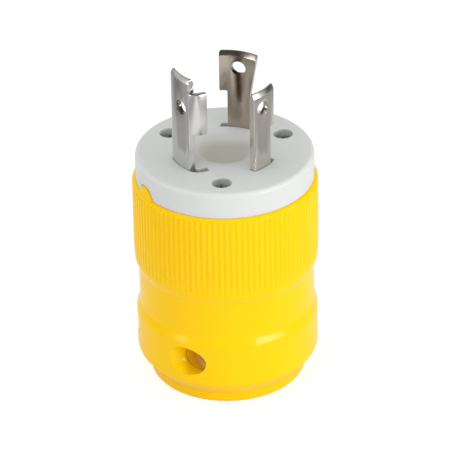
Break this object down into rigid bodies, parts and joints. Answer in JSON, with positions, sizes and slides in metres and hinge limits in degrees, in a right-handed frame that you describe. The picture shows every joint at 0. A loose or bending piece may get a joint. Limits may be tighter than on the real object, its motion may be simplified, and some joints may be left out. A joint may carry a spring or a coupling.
{
  "type": "locking power plug",
  "caption": "Round locking power plug with bent hooked blades on a white face, a fluted yellow grip, and a cord clamp with screws reached through holes in its side.",
  "frame": {"origin": "centre of the cord end, on the surface that the plug stands on", "axes": "+Z along the plug's axis from the cord end to the blades; +X to the right and -Y to the front, seen with the index key at the front left"},
  "size_m": [0.05, 0.05, 0.0942],
  "materials": {
    "yellow_nylon": "smooth moulded nylon, glossy",
    "white_nylon": "moulded nylon, satin",
    "inner_nylon": "moulded nylon, satin",
    "plated_blade": "nickel-plated brass, polished",
    "terminal_brass": "bare turned brass",
    "zinc_steel": "zinc-plated steel",
    "clamp_nylon": "yellow nylon like the housing's, matt"
  },
  "bodies": {
    "root": {"housing": "yellow_nylon", "front_body": "white_nylon", "terminal_carrier": "inner_nylon", "ground_blade": "plated_blade", "hot_blade": "plated_blade", "neutral_blade": "plated_blade", "ground_terminal_screw": "terminal_brass", "hot_terminal_screw": "terminal_brass", "neutral_terminal_screw": "terminal_brass", "ground_pressure_plate": "terminal_brass", "hot_pressure_plate": "terminal_brass", "neutral_pressure_plate": "terminal_brass", "face_screw_1": "zinc_steel", "face_screw_2": "zinc_steel", "face_screw_3": "zinc_steel", "clamp_jaw_head_side": "clamp_nylon", "clamp_jaw_nut_side": "clamp_nylon", "clamp_screw_left": "zinc_steel", "clamp_screw_right": "zinc_steel", "clamp_nut_left": "zinc_steel", "clamp_nut_right": "zinc_steel"}
  },
  "joints": []
}
